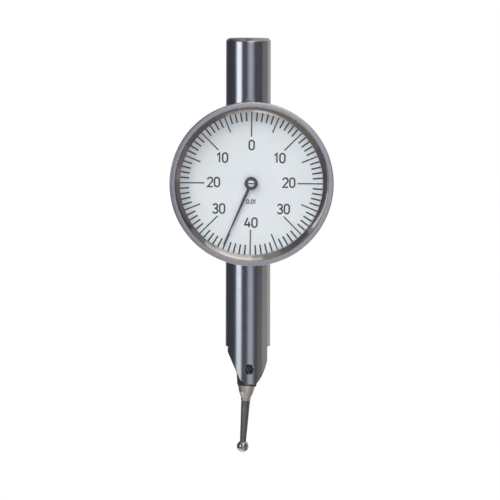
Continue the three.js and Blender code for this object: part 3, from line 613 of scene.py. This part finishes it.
# The polished ring round the crystal slopes from the bezel's front down to the glass
def make_crystal_ring():
    outer, inner, rim, foot = 13.6, 12.7475, 13.64, 13.3475
    run = (outer - inner) / RING_STEPS
    slope = [(outer, BEZEL_FRONT)]
    for k in range(RING_STEPS):
        lean = math.tan(math.radians(RING_LEAN + RING_BEND * (k + 0.5) / RING_STEPS))
        radius, height = slope[-1]
        slope.append((radius - run, height - run * lean))
    points = [(foot, 9.4), (rim, 9.4), (rim, BEZEL_FRONT), *slope, (inner, 9.905), (foot, 9.905)]
    radii = [0.04, 0.04, 0.01, 0.01] + [0] * (RING_STEPS + 2)
    ring = lathe("crystal_ring_look", rounded(points, radii))
    smooth(move(ring, facing(DIAL)), 25)
    finish_piece(ring, "bezel_assembly", "satin_steel", ["crystal_ring"], ring_steel)


make_crystal_ring()


# The dial plate and its printed marks
def make_dial():
    points = [(1, 7.5), (DIAL_RADIUS, 7.5), (DIAL_RADIUS, DIAL_FACE), (1, DIAL_FACE)]
    dial = lathe("dial_plate_look", rounded(points, [0, 0.04, 0.04, 0.04]))
    smooth(move(dial, facing(DIAL)))
    finish_piece(dial, "bezel_assembly", "white_enamel", ["dial_plate"])


make_dial()

DIGIT_HEIGHT = 1.93
DIGIT_WIDTH = 1.15
STROKE = 0.285
THIN_STROKE = 0.17
INK = 0.012
INK_SUNK = 0.004
DIAL_TURN = math.radians(-0.6)

# The divisions: their number and end, and the start and width of each tenth, each fifth and the rest
DIVISIONS = 80
DIVISION_END = 12.78
TENTH = (8.3, 0.23)
FIFTH = (9.77, 0.24)
SINGLE = (11.05, 0.28)


def digit_strokes(digit):
    """The centre lines of a digit or a point, in a frame whose origin is its middle."""
    w, h = (DIGIT_WIDTH - STROKE) / 2, (DIGIT_HEIGHT - STROKE) / 2
    bend = 0.47
    if digit == "0":
        top, low = arc(0, h - bend, w, bend, 0, 180), arc(0, bend - h, w, bend, 180, 360)
        return [[*top, *low, top[0]]]
    if digit == "1":
        return [[(-0.36, h - 0.42), (0.08, h), (0.08, -h)]]
    if digit == "2":
        top = arc(0, h - bend, w, bend, 170, -28)
        return [[*top, (-w, -h), (w + 0.04, -h)]]
    if digit == "3":
        top = arc(0, h - 0.39, w - 0.05, 0.39, 165, -90, 16)
        low = arc(0, -h + 0.42, w, 0.42, 90, -165, 16)
        waist = (-0.12, 0.02)
        return [[*top[:-1], waist], [waist, *low]]
    if digit == "4":
        slant = [(0.02, h + 0.02), (-w - 0.06, -0.38), (w + 0.08, -0.38)]
        return [slant, [(0.24, 0.16), (0.24, -h - 0.02)]]
    return [[(-0.2, -h), (0.2, -h)]]


def ribbon(line, width, matrix, vertices, faces):
    """A flat stroke of a width along a line, standing proud of the dial by the ink's thickness."""
    points = [Vector(p) for p in line]
    closed = (points[0] - points[-1]).length < SAME_POINT
    if closed:
        points = points[:-1]
    count = len(points)
    first = len(vertices)
    for k, here in enumerate(points):
        before = points[k - 1] if closed or k > 0 else None
        after = points[(k + 1) % count] if closed or k < count - 1 else None
        into = (here - before).normalized() if before is not None else (after - here).normalized()
        out = (after - here).normalized() if after is not None else into
        middle = (into + out).normalized()
        side = Vector((-middle.y, middle.x)) * (width / 2 / max(0.5, middle.dot(into)))
        for edge in (here + side, here - side):
            for z in (DIAL_FACE - INK_SUNK, DIAL_FACE + INK):
                vertices.append(matrix @ Vector((edge.x, edge.y, z)))
    for k in range(count if closed else count - 1):
        a, b = first + 4 * k, first + 4 * ((k + 1) % count)
        faces.append([a + 1, b + 1, b + 3, a + 3])
        faces.append([a, a + 2, b + 2, b])
        faces.append([a, b, b + 1, a + 1])
        faces.append([a + 2, a + 3, b + 3, b + 2])
    if not closed:
        last = first + 4 * (count - 1)
        faces.append([first, first + 1, first + 3, first + 2])
        faces.append([last, last + 2, last + 3, last + 1])


def number(text, place, size, vertices, faces, stroke=STROKE):
    pitch = (1.06 if text[0] == "1" else 1.22) * size
    for k, digit in enumerate(text):
        x = place[0] + (k - (len(text) - 1) / 2) * pitch
        matrix = Matrix.Translation((x, place[1], 0)) @ Matrix.Diagonal((size, size, 1, 1))
        for line in digit_strokes(digit):
            ribbon(line, stroke / size, matrix, vertices, faces)


def make_marks():
    vertices, faces = [], []
    for k in range(DIVISIONS):
        start, width = TENTH if k % 10 == 0 else FIFTH if k % 5 == 0 else SINGLE
        turn = turned(-2 * math.pi * k / DIVISIONS, "Z")
        ribbon([(0, start), (0, DIVISION_END)], width, turn, vertices, faces)
    number("0", (0.04, 6.81), 1, vertices, faces)
    for side in (-1, 1):
        number("10", (side * 5.11 - 0.09, 4.54), 1, vertices, faces)
        number("20", (side * 6.72 + 0.04, 0.17), 1, vertices, faces)
        number("30", (side * 5.77 + 0.07, -4.55), 1, vertices, faces)
    number("40", (0.1, -7.02), 1, vertices, faces)
    for digit, x in [("0", -0.55), (".", -0.14), ("0", 0.27), ("1", 0.72)]:
        number(digit, (x, -3.28), 0.43, vertices, faces, THIN_STROKE)
    mesh = bpy.data.meshes.new("dial_marks")
    mesh.from_pydata([v * MM for v in vertices], [], faces)
    marks = placed("dial_marks", mesh)
    move(marks, facing(DIAL) @ turned(DIAL_TURN, "Z"))
    finish_piece(marks, "bezel_assembly", "blackened_steel", look=ink)


make_marks()

POINTER_BACK = 8.15
POINTER_FRONT = 8.3
POINTER_TURN = math.radians(-204.1)


# The pointer, its hub and the end of the arbor
def make_pointer():
    right = [(0.27, 0), (0.25, 3.4), (0.19, 5), (0.155, 7.5), (0.1, 11.9), (0.05, 12)]
    left = [(-x, y) for x, y in reversed(right)]
    needle = prism("pointer_look", right + left, POINTER_BACK, POINTER_FRONT)
    join(needle, rod("boss", 1.05, POINTER_BACK, POINTER_FRONT))
    cut(needle, rod("hole", 0.67, 8, 9, SMALL))
    edged(needle, 0.025)
    smooth(move(needle, facing(DIAL) @ turned(POINTER_TURN, "Z")))
    finish_piece(needle, "pointer_train", "blackened_steel", ["pointer"])


make_pointer()


def make_hub():
    points = [
        (0.45, 7.95), (0.9, 7.95), (0.9, POINTER_BACK), (0.62, POINTER_BACK), (0.62, POINTER_FRONT),
        (1.2, POINTER_FRONT), (1.17, 8.65), (0.62, 8.65), (0.5, 8.58), (0.45, 8.58),
    ]
    radii = [0, 0, 0.03, 0, 0, 0.05, 0.13, 0.05, 0.03, 0]
    hub = lathe("pointer_hub_look", rounded(points, radii), MIDDLE)
    smooth(move(hub, facing(DIAL)))
    finish_piece(hub, "pointer_train", "blackened_steel", ["pointer_hub"])


make_hub()


# The arbor's end has a slot across it, whose inside has painted shade
def make_arbor_end():
    points = [(0, 8.6), (0.58, 8.6), (0.58, 8.82), (0.25, 8.93), (0, 8.93)]
    half = 0.13
    end = lathe("centre_arbor_end", rounded(points, [0, 0, 0.06, 0.25, 0]), MIDDLE)
    cut(end, box("slot", (-1, -half, 8.79), (1, half, 9)))
    # The slot's faces get painted shade, for the shade deep in the slot
    inside = [abs(face.center.y) < (half + 0.002) * MM for face in end.data.polygons]
    smooth(move(end, facing(DIAL)))
    finish_piece(end, "pointer_train", "hard_chrome")
    paint_shade(end, inside)


make_arbor_end()

SCREW_SLOT_HALF = 0.11
SCREW_TURN = 0.5


# The pivot's screws and the rear bush, which have slots too
def make_pivot_screw(name, turn):
    points = [(0, 1.8), (0.68, 1.8), (0.68, 3.1), (0, 3.1)]
    screw = lathe(name + "_look", rounded(points, [0, 0.02, 0.08, 0]), SMALL)
    cut(screw, box("slot", (-SCREW_SLOT_HALF, -1, 2.9), (SCREW_SLOT_HALF, 1, 4)))
    edged(screw, 0.02)
    smooth(move(screw, facing(PIVOT) @ turned(turn, "Y") @ turned(SCREW_TURN, "Z")))
    # The screws get the dark steel look as painted shade, for the deep holes that they sit in
    finish_piece(screw, "housing", "spring_steel", [name], painted_shade_steel)


make_pivot_screw("pivot_screw_front", 0)
make_pivot_screw("pivot_screw_rear", math.pi)


def make_rear_bush():
    points = [(0, BORE_RADIUS), (0.95, BORE_RADIUS), (0.95, 3.8), (0, 3.8)]
    bush = lathe("bush_intermediate_rear_look", rounded(points, [0, 0.05, 0.1, 0]), SMALL)
    cut(
        bush,
        box("slot", (-SCREW_SLOT_HALF, -1, 3.6), (SCREW_SLOT_HALF, 1, 4)),
        rod("pivot_hole", 0.24, 2, 3.24, SMALL),
    )
    edged(bush, 0.03)
    smooth(move(bush, facing(INTERMEDIATE) @ turned(math.pi, "Y")))
    finish_piece(bush, "housing", "brass", ["bush_intermediate_rear"])


make_rear_bush()

LEVER_HALF = 0.5
LEVER_LENGTH = 26.9
LEVER_TURN = math.radians(1.75)


# The lever shows through the fork's slot
def make_lever():
    arm = [(-0.85, 0), (0.85, 0), (0.6, LEVER_LENGTH), (-0.6, LEVER_LENGTH)]
    lever = rod("measuring_lever_look", 1.9, -LEVER_HALF, LEVER_HALF)
    join(lever, prism("arm", arm, -LEVER_HALF, LEVER_HALF))
    cut(
        lever,
        rod("arbor_hole", 0.65, -1, 1, SMALL),
        *[move(rod("rivet_hole", 0.35, -1, 1, SMALL), shifted(y=LEVER_LENGTH - y)) for y in (0.7, 1.8)],
    )
    edged(lever, 0.06)
    smooth(move(lever, facing(PIVOT) @ turned(LEVER_TURN, "Z")))
    finish_piece(lever, "lever", "matte_steel", ["measuring_lever"])


make_lever()

# The contact leans by this angle at rest. Its heights are from the pivot, along its own axis
CONTACT_LEAN = math.radians(3.6)
COLLAR_TOP = -3.2
COLLAR_BOTTOM = -6
COLLAR_RADIUS = 1.58
COLLAR_END_RADIUS = 0.86
EAR_HALF = 1.5

# The collar's flank, from top to bottom: the share of its height, and of what it narrows by
FLANK = [(0.04, 0.97), (0.23, 0.78), (0.43, 0.64), (0.62, 0.32), (0.82, 0.01)]


def along_contact():
    return shifted(z=PIVOT) @ turned(CONTACT_LEAN, "Y")


# The contact: two ears with painted shade above a collar with painted light
def make_fork():
    height, narrows = COLLAR_TOP - COLLAR_BOTTOM, COLLAR_RADIUS - COLLAR_END_RADIUS
    flank = [(COLLAR_END_RADIUS + wide * narrows, COLLAR_TOP - down * height) for down, wide in FLANK]
    points = [
        (0, COLLAR_BOTTOM), (COLLAR_END_RADIUS, COLLAR_BOTTOM), *flank[::-1], (COLLAR_RADIUS, COLLAR_TOP),
        (0, COLLAR_TOP),
    ]
    radii = [0, 0.05, 0.15, 0.3, 0.3, 0.3, 0.05, 0, 0]
    ears = rod("swivel_fork_look", 2, -EAR_HALF, EAR_HALF)
    move(ears, facing(0))
    web = [(-2, 0), (-1.62, -3.25), (1.62, -3.25), (2, 0)]
    join(
        ears,
        move(prism("web", web, -EAR_HALF, EAR_HALF), facing(0)),
        lathe("collar", rounded(points, radii), MIDDLE),
    )
    cut(
        ears,
        box("gap", (-3, -0.65, -2.15), (3, 0.65, 3)),
        move(rod("hole", 0.65, -3, 3, SMALL), facing(0)),
        rod("socket", 0.6, -7, -3.55, SMALL),
    )
    edged(ears, 0.05)
    # The faces above the collar, where the nose shades the ears, get painted shade
    above = [face.center.z > COLLAR_TOP * MM for face in ears.data.polygons]
    smooth(move(ears, along_contact()))
    # The collar's lighter steel copy is painted light
    finish_piece(ears, "contact", "matte_steel", ["swivel_fork"], painted_light_collar_steel)
    paint_shade(ears, above)


make_fork()


def make_stem():
    points = [
        (0, -13.9), (0.4, -13.9), (0.4, -13.45), (0.55, -13.42), (0.8, COLLAR_BOTTOM),
        (0.55, COLLAR_BOTTOM), (0.55, -3.6), (0, -3.6),
    ]
    stem = lathe("contact_stem_look", rounded(points, [0, 0, 0, 0.03, 0.06, 0, 0.1, 0]), MIDDLE)
    smooth(move(stem, along_contact()))
    finish_piece(stem, "contact", "polished_steel", ["contact_stem"], stem_steel)


make_stem()

BALL_CENTRE = -14.31687
BALL_RADIUS = 1.05


def make_ball():
    side = arc(0, BALL_CENTRE, BALL_RADIUS, BALL_RADIUS, -90, 57, 40)
    points = [(max(x, 0), z) for x, z in side] + [(0, side[-1][1])]
    ball = lathe("contact_ball_look", points, MIDDLE)
    smooth(move(ball, along_contact()))
    finish_piece(ball, "contact", "hard_chrome", ["contact_ball"])


make_ball()

# The inner solids keep their shape and get the same looks
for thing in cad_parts.values():
    for k, old in enumerate(thing.data.materials):
        for slot, look in looks.items():
            if old and old.name.startswith(slot):
                thing.material_slots[k].link = "OBJECT"
                thing.material_slots[k].material = look

# Studio: white floor and world, soft lamps, and cards that only reflections see
WORLD_LIGHT = 0.33
FLOOR_HEIGHT = -300
FLOOR_HALF = 4000
FLOOR_GLOW = 1.1
FLOOR_GLOW_SHARE = 0.75


def background_ray(tree):
    """1 for rays of the camera and for those that metal reflects or glass lets through."""
    path = node(tree, "ShaderNodeLightPath")
    seen = path.outputs["Is Camera Ray"]
    for kind in ("Is Glossy Ray", "Is Transmission Ray"):
        either = node(tree, "ShaderNodeMath", operation="MAXIMUM")
        tree.links.new(seen, either.inputs[0])
        tree.links.new(path.outputs[kind], either.inputs[1])
        seen = either.outputs["Value"]
    return seen


def make_world():
    world = bpy.data.worlds.new("studio")
    world.use_nodes = True
    tree = world.node_tree
    lit = tree.nodes["Background"]
    lit.inputs["Color"].default_value = (0.97, 0.985, 1, 1)
    lit.inputs["Strength"].default_value = WORLD_LIGHT
    seen = node(tree, "ShaderNodeBackground")
    seen.inputs["Color"].default_value = (1, 1, 1, 1)
    seen.inputs["Strength"].default_value = 1
    ray = background_ray(tree)
    mixed(tree, ray, lit.outputs["Background"], seen.outputs["Background"], "World Output")
    bpy.context.scene.world = world


def level_sheet(name, across, along, height):
    corners = rectangle((across[0], along[0]), (across[1], along[1]))
    return mesh_object(name, [(x, y, height) for x, y in corners], [[0, 1, 2, 3]])


def make_floor():
    floor = level_sheet("floor", (-FLOOR_HALF, FLOOR_HALF), (-FLOOR_HALF, FLOOR_HALF), FLOOR_HEIGHT)
    material, tree, bsdf = new_material("floor_look")
    bsdf.inputs["Roughness"].default_value = 0.9
    bsdf.inputs["Specular IOR Level"].default_value = 0
    bsdf.inputs["Base Color"].default_value = (0.92, 0.92, 0.92, 1)
    glow = node(tree, "ShaderNodeEmission")
    glow.inputs["Strength"].default_value = FLOOR_GLOW
    part = node(tree, "ShaderNodeMath", operation="MULTIPLY")
    part.inputs[1].default_value = FLOOR_GLOW_SHARE
    tree.links.new(background_ray(tree), part.inputs[0])
    mixed(tree, part.outputs["Value"], bsdf.outputs["BSDF"], glow.outputs["Emission"], "Material Output")
    floor.data.materials.append(material)


def make_lamp(name, azimuth, elevation, spread, strength):
    data = bpy.data.lights.new(name, "SUN")
    data.angle = math.radians(spread)
    data.energy = strength * math.pi
    lamp = placed(name, data)
    aim(lamp, toward(azimuth, elevation))
    lamp.visible_glossy = False


# The cards' reach round the part, their foot and top, and the heights of the level ones
REACH = 420
FOOT = -290
TOP = 380
BELOW = -285
ABOVE = 375
CARD_STEP = 4

# Colours that more than one card has
DIM = (0.08, 0.085, 0.11)
DIM_RIGHT = (0.08, 0.08, 0.1)
BRIGHT = (1.45, 1.5, 1.55)
WARM = (0.47, 0.43, 0.39)

# Level cards: left and right end, front and back end, height and colour
LEVEL_CARDS = [
    ("card_low", (-REACH, 72), (-57, REACH), BELOW, (0.78, 0.71, 0.68)),
    ("card_low_bright", (-145, 10), (-57, 10), BELOW + 0.5, (1.4, 1.28, 1.22)),
    ("card_low_middle", (-REACH, 72), (-200, -57), BELOW, (0.25, 0.22, 0.21)),
    ("card_low_side", (72, 108), (-57, REACH), BELOW, (0.56, 0.52, 0.51)),
    ("card_low_side_front", (72, 108), (-200, -57), BELOW, (0.22, 0.21, 0.21)),
    ("card_low_side_right", (108, 150), (-200, REACH), BELOW, (0.25, 0.24, 0.24)),
    ("card_low_right", (150, REACH), (-200, REACH), BELOW, (0.18, 0.172, 0.18)),
    ("card_low_front", (-REACH, REACH), (-REACH, -200), BELOW, (0.55, 0.52, 0.48)),
    ("card_high", (-75, 75), (-75, 75), ABOVE - 1, (0.12, 0.12, 0.13)),
    ("card_high_rear", (20, REACH), (-108, REACH), ABOVE, WARM),
    ("card_high_corner", (275, REACH), (-137, -108), ABOVE, (0.3, 0.285, 0.27)),
    ("card_high_bright", (25, 235), (-180, -138), ABOVE - 0.5, (1.6, 1.5, 1.36)),
    ("card_high_middle", (-107, 20), (-138, REACH), ABOVE, WARM),
    ("card_high_front", (-107, -35), (-REACH, -138), ABOVE, (0.4, 0.38, 0.36)),
    ("card_high_side", (-155, -107), (-REACH, REACH), ABOVE, (0.36, 0.35, 0.34)),
    ("card_high_side_left", (-240, -155), (-REACH, REACH), ABOVE, (0.21, 0.205, 0.205)),
    ("card_high_left", (-REACH, -240), (-REACH, REACH), ABOVE, (0.15, 0.15, 0.16)),
]

# Upright cards: first and last bearing in degrees from the camera's, foot, top, reach and colour
UPRIGHT_CARDS = [
    ("card_back", -180, -145, FOOT, TOP, REACH, (0.2, 0.195, 0.2)),
    ("card_left_back", -145, -73, FOOT, TOP, REACH, (0.055, 0.055, 0.075)),
    ("card_strip_outer", -73, -62, -150, 0, REACH, (0.13, 0.13, 0.155)),
    ("card_strip_outer_top", -73, -63.5, 0, TOP, REACH, (0.1, 0.1, 0.12)),
    ("card_strip_outer_foot", -73, -62, FOOT, -150, REACH, (0.17, 0.165, 0.18)),
    ("card_strip_top", -57, -33, 60, TOP, REACH, (0.25, 0.25, 0.28)),
    ("card_strip_inner", -35, -33, -150, 60, REACH, DIM),
    ("card_strip_corner", -63.5, -57, 60, 232, REACH, (1.3, 1.25, 1.2)),
    ("card_strip_corner_top", -63.5, -57, 232, 290, REACH, (0.46, 0.45, 0.46)),
    ("card_strip_corner_roof", -63.5, -57, 290, TOP, REACH, (0.12, 0.12, 0.13)),
    ("card_strip_side", -63.5, -62, 0, 60, REACH, BRIGHT),
    ("card_strip", -62, -35, -80, 60, REACH, BRIGHT),
    ("card_strip_low", -62, -35, -150, -80, REACH, (0.85, 0.89, 0.93)),
    ("card_strip_foot", -62, -33, FOOT, -150, REACH, DIM),
    ("card_left_front", -33, -4, FOOT, TOP, REACH, DIM),
    ("card_front_edge", -4, 3, FOOT, TOP, REACH, (0.3, 0.31, 0.35)),
    ("card_front_bright", 1, 30, 60, 250, REACH - 10, (1.7, 1.7, 1.7)),
    ("card_front", 3, 22, FOOT, TOP, REACH, (0.5, 0.51, 0.56)),
    ("card_front_side", 22, 30, FOOT, TOP, REACH, (0.28, 0.29, 0.33)),
    ("card_right_front", 30, 60, -72, TOP, REACH, DIM_RIGHT),
    ("card_right_middle", 60, 78, -72, 215, REACH, DIM_RIGHT),
    ("card_right_middle_top", 60, 78, 215, TOP, REACH, (0.27, 0.26, 0.26)),
    ("card_right_front_low", 30, 50, FOOT, -72, REACH, DIM_RIGHT),
    ("card_right_middle_low", 50, 78, FOOT, -72, REACH, (0.19, 0.182, 0.178)),
    ("card_right", 78, 120, -72, TOP, REACH, (0.22, 0.21, 0.215)),
    ("card_right_low", 78, 120, -140, -72, REACH, (0.36, 0.335, 0.325)),
    ("card_right_foot", 78, 120, FOOT, -140, REACH, (0.25, 0.24, 0.245)),
    ("card_right_back", 120, 155, FOOT, TOP, REACH, (0.5, 0.48, 0.46)),
    ("card_right_rear", 155, 180, FOOT, TOP, REACH, (0.36, 0.35, 0.34)),
]


def upright_sheet(name, start, end, foot, top, reach):
    """A sheet bent round the part."""
    count = max(2, int(abs(end - start) / CARD_STEP))
    vertices = []
    for k in range(count + 1):
        a = math.radians(CAMERA_AZIMUTH + start + (end - start) * k / count)
        for z in (foot, top):
            vertices.append((reach * math.sin(a), -reach * math.cos(a), z))
    faces = [[2 * k, 2 * k + 1, 2 * k + 3, 2 * k + 2] for k in range(count)]
    return mesh_object(name, vertices, faces)


def finish_card(card, colour):
    """Gives a card its glow, which only reflections see."""
    material, tree, _ = new_material(card.name + "_look")
    glow = node(tree, "ShaderNodeEmission")
    glow.inputs["Color"].default_value = (*colour, 1)
    tree.links.new(glow.outputs["Emission"], tree.nodes["Material Output"].inputs["Surface"])
    card.data.materials.append(material)
    card.visible_camera = False
    card.visible_diffuse = False
    card.visible_shadow = False
    card.visible_transmission = False


make_world()
make_floor()
make_lamp("key", -42, 38, 25, 0.33)
make_lamp("fill", 50, 20, 50, 0.1)
make_lamp("top", 0, 80, 60, 0.25)
for name, across, along, height, colour in LEVEL_CARDS:
    finish_card(level_sheet(name, across, along, height), colour)
for name, start, end, foot, top, reach, colour in UPRIGHT_CARDS:
    finish_card(upright_sheet(name, start, end, foot, top, reach), colour)

scene = bpy.context.scene
scene.view_settings.view_transform = "Standard"
